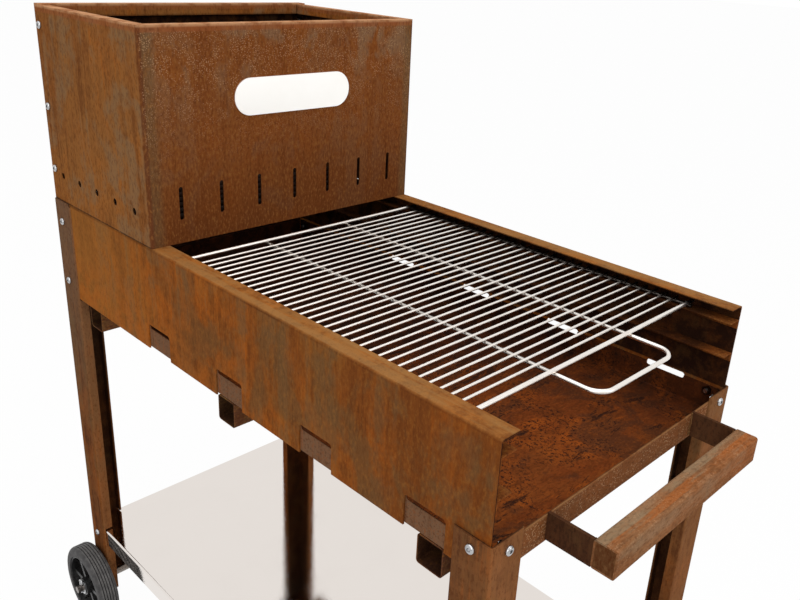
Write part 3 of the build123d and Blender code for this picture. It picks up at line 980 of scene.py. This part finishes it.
@dataclass
class Underframe(SubAssembly):
    """Legs, cross tubes and the storage shelf."""

    def dress(self) -> None:
        """Gives the legs, tubes and shelf their finishes."""
        for end, greyed in (("rear", 0.7), ("front", 0.15)):
            legs = LegCorten(
                f"leg_{end}_rust", rust=(104, 62, 31), fresh=(144, 78, 30), ochre=(120, 78, 42),
                film=(94, 71, 43),
                film_cover=0.65, film_drawn=0.5, runs=0.8, grit=0.45, seed=11.0,
                box=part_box(f"leg_{end}_left"), greyed=greyed,
            )
            self.coat(legs.make(), f"leg_{end}_left", f"leg_{end}_right")
        for number, end in enumerate(("front", "middle", "rear")):
            tube = TubeCorten(
                f"tube_{end}_rust", rust=(98, 62, 42), fresh=(118, 70, 40),
                film_cover=0.8, run=Run.ACROSS, seed=13.0 + number, box=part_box(f"cross_tube_{end}"),
            )
            self.coat(tube.make(), f"cross_tube_{end}")
        shelf = Stainless(
            "shelf_steel", tone=(228, 221, 215), smudge=(218, 210, 204),
            roughness=0.025, soiled=0.1, lined=0.02,
        )
        self.coat(shelf.make(), "storage_shelf")


@dataclass
class Handle(SubAssembly):
    """The tube across the front, on its two plates."""

    weld_radius: float = 0.0016
    weld_flatness: float = 0.9
    weld_sunk: float = 0.3
    weld_spacing: float = 1.1

    def dress(self) -> None:
        """Gives the bar and plates their finishes."""
        bar = HandleCorten(
            "handle_rust", rust=(126, 82, 50), fresh=(152, 86, 42), ochre=(144, 106, 74),
            dark=(78, 47, 29), film=(134, 116, 92),
            run=Run.DRAWN, runs=0.35, film_cover=0.4, film_drawn=0.6, grit=0.4, specks=0.25, seed=17.0,
            box=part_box("handle_bar"),
        )
        self.coat(bar.make(), "handle_bar")
        plate = Corten(
            "bracket_rust", rust=(68, 41, 25), fresh=(84, 50, 28), ochre=(76, 50, 31), dark=(46, 28, 18),
            film_cover=0.2, seed=19.0,
        )
        self.coat(plate.make(), "handle_bracket_left", "handle_bracket_right")
        cap = Corten(
            "cap_rust", rust=(92, 58, 33), fresh=(110, 66, 32), ochre=(112, 76, 46),
            runs=0.2, grit=0.7, relief_depth=0.001, seed=29.0,
        )
        rough = cap.make()
        self.coat(rough, "handle_cap_left", "handle_cap_right")
        self._beads(rough)

    def _beads(self, material: Material) -> None:
        """Lays the fillet welds up the corners between the brackets, the floor tray and the bar."""
        radius, sunk = self.weld_radius, self.weld_sunk * self.weld_radius
        for side, sign in (("left", -1), ("right", 1)):
            low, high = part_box(f"handle_bracket_{side}")
            inner = (high.y if sign < 0 else low.y) - sign * sunk
            ends: list[Vector] = []
            for x in (low.x + sunk, high.x - sunk):
                ends += [Vector((x, inner, low.z + radius)), Vector((x, inner, high.z - radius))]
            spacing = self.weld_spacing * radius
            weld = Weld(f"handle_weld_{side}", material, radius, self.weld_flatness, spacing)
            piece = weld.lay(ends, [(0, 1), (2, 3)])
            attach(piece, "frame")
            log.info("%s: fillet welds", piece.name)


@dataclass
class Grate(SubAssembly):
    """Bars welded across rods."""

    def spots(self, weld: Weld, bars: Iterable[str], rods: Iterable[str], body: str, slot: str) -> None:
        """Puts a weld where each bar crosses each rod.

        Args:
            weld: the weld metal.
            bars: nodes of the bars, which lie across Y.
            rods: nodes of the rods, which lie along X under the bars.
            body: body that the welds ride on.
            slot: material slot of the welds; not used.
        """
        across = [box for name in bars for box in self._islands(name)]
        along = [box for name in rods for box in self._islands(name)]
        places: list[Vector] = []
        for bar_low, bar_high in across:
            for rod_low, rod_high in along:
                for y in self._lines(rod_low, rod_high):
                    places.append(Vector(((bar_low.x + bar_high.x) / 2, y, bar_low.z)))
        piece = weld.lay(places)
        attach(piece, body)
        log.info("%s: %d welds", piece.name, len(places))

    @staticmethod
    def _lines(low: Vector, high: Vector) -> tuple[float, ...]:
        """Where a rod's long runs lie in Y: one for a straight rod, two for a loop."""
        radius = (high.z - low.z) / 2
        is_straight = high.y - low.y < 3 * radius
        if is_straight:
            return ((low.y + high.y) / 2,)
        return low.y + radius, high.y - radius

    def _islands(self, name: str) -> list[Box]:
        """Finds the loose bars in one node.

        Args:
            name: the node.

        Returns:
            The box of each bar, in order along X and then Y.
        """
        mesh = bmesh.new()
        mesh.from_mesh(self.nodes[name].data)
        bmesh.ops.remove_doubles(mesh, verts=mesh.verts, dist=MERGE_DISTANCE)
        left = set(mesh.verts)
        boxes: list[Box] = []
        while left:
            front = [left.pop()]
            found = list(front)
            while front:
                vert = front.pop()
                near = {edge.other_vert(vert) for edge in vert.link_edges} & left
                left -= near
                front += near
                found += near
            corners = [vert.co for vert in found]
            boxes.append(
                tuple(Vector(pick(co[axis] for co in corners) for axis in range(3)) for pick in (min, max))
            )
        mesh.free()
        return sorted(boxes, key=lambda box: (box[0].x, box[0].y))


@dataclass
class CookingGrate(Grate):
    """The sliding stainless grate and its pull loop."""

    weld_radius: float = 0.0016
    # length of the painted shade at each end of the wires
    dark_ends: float = 0.024

    def dress(self) -> None:
        """Gives the wires their finish and welds their crossings."""
        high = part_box("grate_end_bars")[1]
        wire = GrateSteel(
            "wire_steel", tone=(236, 230, 223), smudge=(190, 180, 170),
            roughness=0.3, run=Run.ACROSS, smudge_grain=0.03, ends=high.y - self.dark_ends,
        )
        rod = replace(wire, name="rod_steel", under=high.x)
        rods = ("grate_side_rods", "grate_pull_rod")
        bars = ("grate_bars", "grate_end_bars")
        self.coat(wire.make(), *bars)
        steel = rod.make()
        self.coat(steel, *rods)
        self.spots(Weld("grate_welds", steel, self.weld_radius), bars, rods, "cooking_grate", "stainless")


@dataclass
class EmberGrate(Grate):
    """The loose grate under the fire."""

    weld_radius: float = 0.0042

    def dress(self) -> None:
        """Gives the bars their charred finish and welds their crossings."""
        dark_coat = Corten(
            "burnt_rust", rust=(34, 23, 18), fresh=(52, 31, 20), ochre=(44, 32, 25), dark=(22, 15, 12),
            film=(48, 42, 38),
            run=Run.ACROSS, seed=23.0,
        ).make()
        self.coat(dark_coat, "ember_bars", "ember_rods")
        weld = Weld("ember_welds", dark_coat, self.weld_radius)
        self.spots(weld, ("ember_bars",), ("ember_rods",), "ember_grate", "corten")


@dataclass
class Wheels(SubAssembly):
    """The two wheels on their axle."""

    groove: float = 0.0015

    def dress(self) -> None:
        """Gives tyres and rims their finishes."""
        low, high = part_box("tyre_left")
        rubber = Rubber((low + high) / 2, (high.z - low.z) / 2, self.groove)
        self.coat(rubber.make(), "tyre_left", "tyre_right")
        self.coat(MouldedPlastic().make(), "rim_left", "rim_right")


@dataclass
class Fasteners(SubAssembly):
    """Bolts, nuts, axle, washers and pins."""

    def dress(self) -> None:
        """Gives the plated parts their finish, smoked inside the firebox, with painted shade on the nuts
        inside the trough.
        """
        bolts = ("leg_bolts", "shelf_bolts", "shelf_nuts", "firebox_bolts")
        self.coat(Zinc().make(), *bolts, "wheel_pins", "wheel_washers")
        dull = Zinc("dull_zinc", (132, 124, 118), (84, 76, 70))
        self.coat(dull.make(), "wheel_axle", "wheel_spacers")
        # dark zinc: smoke on the firebox nuts, and painted shade on the leg nuts in the trough's dark
        # corners
        smoked_and_shaded = Zinc("smoked_and_shaded_zinc", (66, 60, 56), (36, 32, 30))
        self.coat(smoked_and_shaded.make(), "firebox_nuts", "leg_nuts")


@dataclass
class Lamp:
    """A soft box above or beside the part."""

    name: str
    place: Triple
    size: float
    watts: float
    aim: Triple = (0.0, 0.0, 0.6)

    def hang(self) -> None:
        """Adds the lamp, turned towards its aim."""
        light = bpy.data.lights.new(self.name, "AREA")
        light.energy, light.size = self.watts, self.size
        lamp = placed(self.name, light)
        lamp.location = self.place
        towards = Vector(self.aim) - Vector(self.place)
        lamp.rotation_euler = towards.to_track_quat("-Z", "Y").to_euler()


@dataclass
class Studio:
    """Pale floor, soft light and the camera that took the picture."""

    image: tuple[int, int] = (800, 600)
    camera_from_rear: float = 1.21773
    camera_y: float = -0.70015
    camera_above_walls: float = 0.37185
    heading: float = 133.317
    dip: float = -21.841
    roll: float = -3.408
    focal_px: float = 826.68
    centre_px: tuple[float, float] = (426.6, 282.43)
    sensor: float = 36.0
    floor_half: float = 30.0
    ambient: float = 0.5
    floor_tone: Colour = (240, 240, 240)
    backdrop_share: float = 0.97
    lamps: tuple[Lamp, ...] = (
        Lamp("lamp_above", (0.1, -0.2, 3.0), 2.6, 42.0),
        Lamp("lamp_key", (1.7, -2.3, 2.0), 1.8, 26.0),
        Lamp("lamp_front", (2.6, 0.6, 1.5), 1.6, 12.0),
    )

    def camera(self) -> None:
        """Adds the camera from its fitted place, heading and frame."""
        heading, dip, roll = (math.radians(angle) for angle in (self.heading, self.dip, self.roll))
        level = math.cos(dip)
        ahead = Vector((level * math.cos(heading), level * math.sin(heading), math.sin(dip)))
        right = ahead.cross(Vector((0.0, 0.0, 1.0))).normalized()
        down = ahead.cross(right)
        rolled_right = math.cos(roll) * right + math.sin(roll) * down
        rolled_down = math.cos(roll) * down - math.sin(roll) * right
        turn = Matrix((rolled_right, -rolled_down, -ahead)).transposed()
        width, height = self.image
        lens = bpy.data.cameras.new("camera")
        lens.sensor_width = self.sensor
        lens.lens = self.focal_px / width * self.sensor
        lens.shift_x = (width / 2 - self.centre_px[0]) / width
        lens.shift_y = (self.centre_px[1] - height / 2) / width
        camera = placed("camera", lens)
        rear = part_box("leg_rear_left")[0].x
        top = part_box("side_wall_left")[1].z
        place = Vector((rear + self.camera_from_rear, self.camera_y, top + self.camera_above_walls))
        camera.matrix_world = Matrix.Translation(place) @ turn.to_4x4()
        bpy.context.scene.camera = camera

    @staticmethod
    def _seen(tree: Tree) -> Field:
        """1 for rays from the camera, or by way of a gloss or glass."""
        path = tree.node("ShaderNodeLightPath")
        kinds = ("Camera", "Glossy", "Transmission")
        camera, glossy, through = (Field(tree, path.outputs[f"Is {kind} Ray"]) for kind in kinds)
        return camera.most(glossy).most(through)

    def world(self) -> None:
        """A white surround that lights the part at a lower level."""
        world = bpy.data.worlds.new("surround")
        world.use_nodes = True
        bpy.context.scene.world = world
        tree = Tree(world.node_tree)
        tree.tree.nodes.clear()
        strength = self.ambient + (1 - self.ambient) * self._seen(tree)
        light = tree.node("ShaderNodeBackground", inputs={"Color": linear(WHITE), "Strength": strength})
        tree.node("ShaderNodeOutputWorld", inputs={"Surface": light.outputs[0]})

    def floor(self) -> None:
        """A pale floor that shows nearly white and keeps a faint shadow."""
        half = self.floor_half
        corners = [(-half, -half, 0), (half, -half, 0), (half, half, 0), (-half, half, 0)]
        mesh = bpy.data.meshes.new("floor")
        mesh.from_pydata(corners, [], [(0, 1, 2, 3)])
        floor = placed("floor", mesh)
        paint = Paint("floor_paper")
        matt = paint.node("ShaderNodeBsdfDiffuse", inputs={"Color": linear(self.floor_tone)})
        white = paint.node("ShaderNodeEmission", inputs={"Color": linear(WHITE), "Strength": 1.0})
        shares = {0: self._seen(paint) * self.backdrop_share, 1: matt.outputs[0], 2: white.outputs[0]}
        mixed = paint.node("ShaderNodeMixShader", inputs=shares)
        paint.node("ShaderNodeOutputMaterial", inputs={"Surface": mixed.outputs[0]})
        mesh.materials.append(paint.material)

    def build(self) -> None:
        """Sets up the whole studio."""
        bpy.context.scene.view_settings.view_transform = "Standard"
        self.camera()
        self.world()
        self.floor()
        for lamp in self.lamps:
            lamp.hang()


def main() -> None:
    """Dresses the frame piece by piece and sets up the studio."""
    logging.basicConfig(level=logging.INFO, format="%(name)s %(message)s")
    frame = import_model()
    for part in (Trough, Firebox, Underframe, Handle, CookingGrate, EmberGrate, Wheels, Fasteners):
        part(frame["nodes"]).dress()
    Studio().build()


if __name__ == "__main__":
    main()
